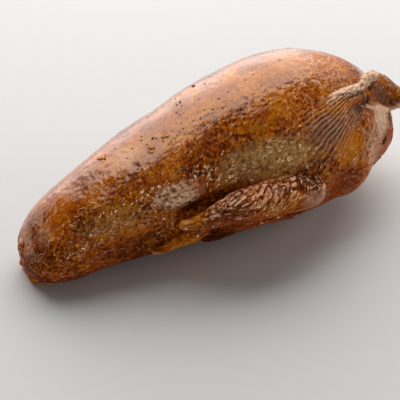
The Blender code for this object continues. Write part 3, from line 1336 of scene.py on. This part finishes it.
@dataclass
class Crumbs:
    """Crisp bits on the breast, half sunk in the glaze, as (x, y, size) from above.

    Lowest is the least height in mm at which the skin carries any.
    """

    name: str
    spots: Rows
    seed: int
    lowest: float = 35.0
    rings: int = 7
    around: int = 12

    def build(self, body: Object, material: Material) -> Object:
        """Lays the crumbs on the body's highest skin at their spots.

        Args:
            body: the dressed body.
            material: the crumbs' finish.

        Returns:
            The crumbs, as one piece.
        """
        skin = Shell.read(body.data).points
        skin = skin[skin[:, 2] > self.lowest]
        draw = np.random.default_rng(self.seed)
        crumbs = []
        for number, (x, y, size) in enumerate(self.spots):
            seat = skin[np.hypot(skin[:, 0] - x, skin[:, 1] - y).argmin()]
            crumbs.append(self.crumb(draw, number, size, seat))
        return dress(Shell.joined(crumbs).mesh(self.name), material)

    def crumb(self, draw: np.random.Generator, number: int, size: float, seat: Array) -> Shell:
        """Shapes one crumb: a lopsided ball, wrung by noise and turned at random.

        Args:
            draw: where its proportions and turn come from.
            number: tells its noise from the others'.
            size: how long it is, in mm.
            seat: the point of the skin that it sits on.

        Returns:
            The crumb's closed shell.
        """
        tilt = np.linspace(0, math.pi, self.rings + 2)[:, None]
        turn = np.linspace(0, 2 * math.pi, self.around, endpoint=False)
        ball = np.stack([
            np.sin(tilt) * np.cos(turn),
            np.sin(tilt) * np.sin(turn),
            np.cos(tilt) + 0 * turn,
        ], axis=-1)
        rough = 1 + 0.55 * Noise(self.seed).at(ball.reshape(-1, 3) * 1.3 + 9.1 * number)
        ball *= rough.reshape(ball.shape[:2])[:, :, None]
        axes = np.linalg.qr(draw.normal(size=(3, 3)))[0] * draw.uniform(0.3, 0.5, (1, 3)) * size
        axes[2] *= 0.6
        axes *= np.sign(np.linalg.det(axes))
        ball = ball @ axes.T + seat
        return Shell.over(ball[1:-1], ball[0].mean(axis=0), ball[-1].mean(axis=0))


GOLDEN_CRUMBS = (
    (-48.1, 4.9, 2.8), (-47.0, 3.8, 2.2), (-49.3, 6.2, 2.0), (-46.2, 4.8, 1.4),
    (-29.6, -7.2, 2.6), (-29.6, -9.8, 2.2), (-28.3, -8.6, 1.9), (-29.9, -4.9, 1.5), (-30.9, -8.8, 1.4),
    (-22.2, -6.0, 2.4), (-20.9, -6.9, 2.0), (-21.1, -5.2, 1.4), (-33.5, -12.8, 1.2), (-12.0, 2.0, 1.2),
)
DARK_CRUMBS = (
    (-26.8, -3.1, 1.5), (-25.0, -4.6, 1.1), (-25.9, -3.7, 0.8), (-29.9, 0.9, 1.0), (-18.3, -5.8, 0.9),
    (-17.3, -9.0, 0.8), (-13.9, -8.0, 1.0), (-13.2, -4.6, 0.8), (0.9, -7.4, 1.1), (5.3, -9.0, 1.1),
    (6.0, -3.8, 1.0), (-1.4, 2.4, 1.1), (-28.7, -13.3, 0.9), (-38.4, -12.6, 0.9), (-51.2, -4.9, 0.8),
    (-8.0, 7.2, 1.5), (-9.3, 6.6, 0.9), (2.9, 15.1, 1.9), (6.9, 11.8, 1.0), (11.3, 16.5, 1.2),
    (11.1, -2.7, 0.8), (20.6, -0.7, 0.9), (28.4, -2.3, 0.8), (-22.0, 12.6, 0.9), (-47.4, 3.2, 0.9),
)
BURNT_CRUMB = ToastedCrumb(light=(0.14, 0.04, 0.01, 1.0), dark=(0.03, 0.008, 0.002, 1.0))


# ---- the studio


@dataclass(frozen=True)
class SoftLight:
    """A flat light: its middle, width and height, and the point it faces, in metres.

    Radiance is how bright its face is. Matt says whether it lights matt surfaces, and
    mirrored whether it shows in glossy ones.
    """

    name: str
    place: Place
    size: tuple[float, float]
    radiance: float
    aim: Place = (0.0, 0.0, 0.03)
    matt: bool = True
    mirrored: bool = True

    def build(self) -> None:
        """Makes the light, whose power is pi times its radiance and its area."""
        data = bpy.data.lights.new(self.name, "AREA")
        data.shape = "RECTANGLE"
        data.size, data.size_y = self.size
        data.energy = self.radiance * math.pi * self.size[0] * self.size[1]
        obj = bpy.data.objects.new(self.name, data)
        obj.location = self.place
        facing = Vector(self.aim) - Vector(self.place)
        obj.rotation_euler = facing.to_track_quat("-Z", "Y").to_euler()
        obj.visible_camera = False
        obj.visible_diffuse = self.matt
        obj.visible_glossy = self.mirrored
        bpy.context.scene.collection.objects.link(obj)


LIGHTS = (
    SoftLight("card", (-0.156434465, -0.987688341, 0.17), (0.45, 0.20), 15.0, matt=False),
    SoftLight("window", (1.35, -0.40, 0.55), (0.8, 0.5), 3.2),
    SoftLight("right_card", (0.22, -1.0, 0.30), (0.30, 0.18), 16.0, matt=False),
    SoftLight("fill", (-1.2, -1.6, 0.9), (1.2, 0.8), 0.75, mirrored=False),
)


@dataclass
class Studio:
    """The camera, the floor and the lights.

    One great soft light slopes from overhead to the floor behind: slope height is its
    height over the origin, slope fall how far it drops for each metre back, and slope
    stretch how long it is for each metre back. Its panels are a name, the left, right,
    near and far edges, and a radiance. Only the first lights matt surfaces.
    """

    target: Place = (-6.7, -10.3, 21.0)
    azimuth: float = -26.5
    elevation: float = 41.0
    distance: float = 585.0
    field_of_view: float = 18.0
    floor_reach: float = 3000.0
    floor_colour: Colour = (0.78, 0.775, 0.76, 1.0)
    room_light: float = 0.08
    slope_height: float = 1.2766
    slope_fall: float = 0.6383
    slope_stretch: float = 1.1863
    slope_panels: Rows = (
        ("slope", -0.50, 1.65, 0.12, 2.0, 2.4),
        ("slope_near", -0.63, -0.20, -0.45, 0.12, 2.4),
        ("slope_left", -0.63, -0.50, 0.12, 2.0, 1.05),
        ("slope_wall", -1.50, -0.63, 1.0, 2.0, 1.05),
    )

    def camera(self) -> None:
        """Points a camera at the target from the azimuth and elevation."""
        turn, rise = math.radians(self.azimuth), math.radians(self.elevation)
        level = math.cos(rise)
        back = Vector((math.sin(turn) * level, -math.cos(turn) * level, math.sin(rise)))
        data = bpy.data.cameras.new("camera")
        data.sensor_fit = "HORIZONTAL"
        data.angle = math.radians(self.field_of_view)
        data.clip_start = 0.01
        obj = bpy.data.objects.new("camera", data)
        obj.location = (Vector(self.target) + back * self.distance) * MM
        obj.rotation_euler = back.to_track_quat("Z", "Y").to_euler()
        bpy.context.scene.collection.objects.link(obj)
        bpy.context.scene.camera = obj

    def floor(self) -> None:
        """Lays the plain pale floor that the bird rests on."""
        corners = self.floor_reach * np.array([(-1, -1, 0), (1, -1, 0), (1, 1, 0), (-1, 1, 0)])
        mesh = Shell(corners, np.array([[0, 1, 2, 3]]), np.empty((0, 3), int)).mesh("floor")
        graph = Graph("pale_floor")
        paint = graph.surface({"Base Color": self.floor_colour, "Roughness": 0.7})
        mesh.materials.append(graph.finish(paint))
        obj = bpy.data.objects.new("floor", mesh)
        bpy.context.scene.collection.objects.link(obj)

    def lights(self) -> None:
        """Hangs the slope's panels and the other lights in a dim room."""
        for name, left, right, near, far, radiance in self.slope_panels:
            x, y = (left + right) / 2, (near + far) / 2
            z = self.slope_height - self.slope_fall * y
            size = (right - left, (far - near) * self.slope_stretch)
            aim = (x, y - self.slope_fall, z - 1.0)
            SoftLight(name, (x, y, z), size, radiance, aim, matt=name == "slope").build()
        for light in LIGHTS:
            light.build()
        world = bpy.data.worlds.new("room")
        bpy.context.scene.world = world
        world.use_nodes = True
        background = world.node_tree.nodes["Background"].inputs
        background["Color"].default_value = (1.0, 1.0, 1.0, 1.0)
        background["Strength"].default_value = self.room_light
        world.cycles_visibility.glossy = False

    def build(self) -> None:
        """Sets up everything that isn't the object."""
        bpy.context.scene.view_settings.view_transform = "Standard"
        self.camera()
        self.floor()
        self.lights()


def main() -> None:
    """Builds the studio, then the bird."""
    logging.basicConfig(level=logging.INFO)
    Studio().build()
    skin = RoastSkin().material()
    body = Body("body_skin").build(skin)
    Wing("near_wing", side=Side.NEAR).build(skin)
    Wing("far_wing", side=Side.FAR).build(skin)
    Crumbs("golden_crumbs", GOLDEN_CRUMBS, 60).build(body, ToastedCrumb().material())
    Crumbs("dark_crumbs", DARK_CRUMBS, 61).build(body, BURNT_CRUMB.material())


if __name__ == "__main__":
    main()
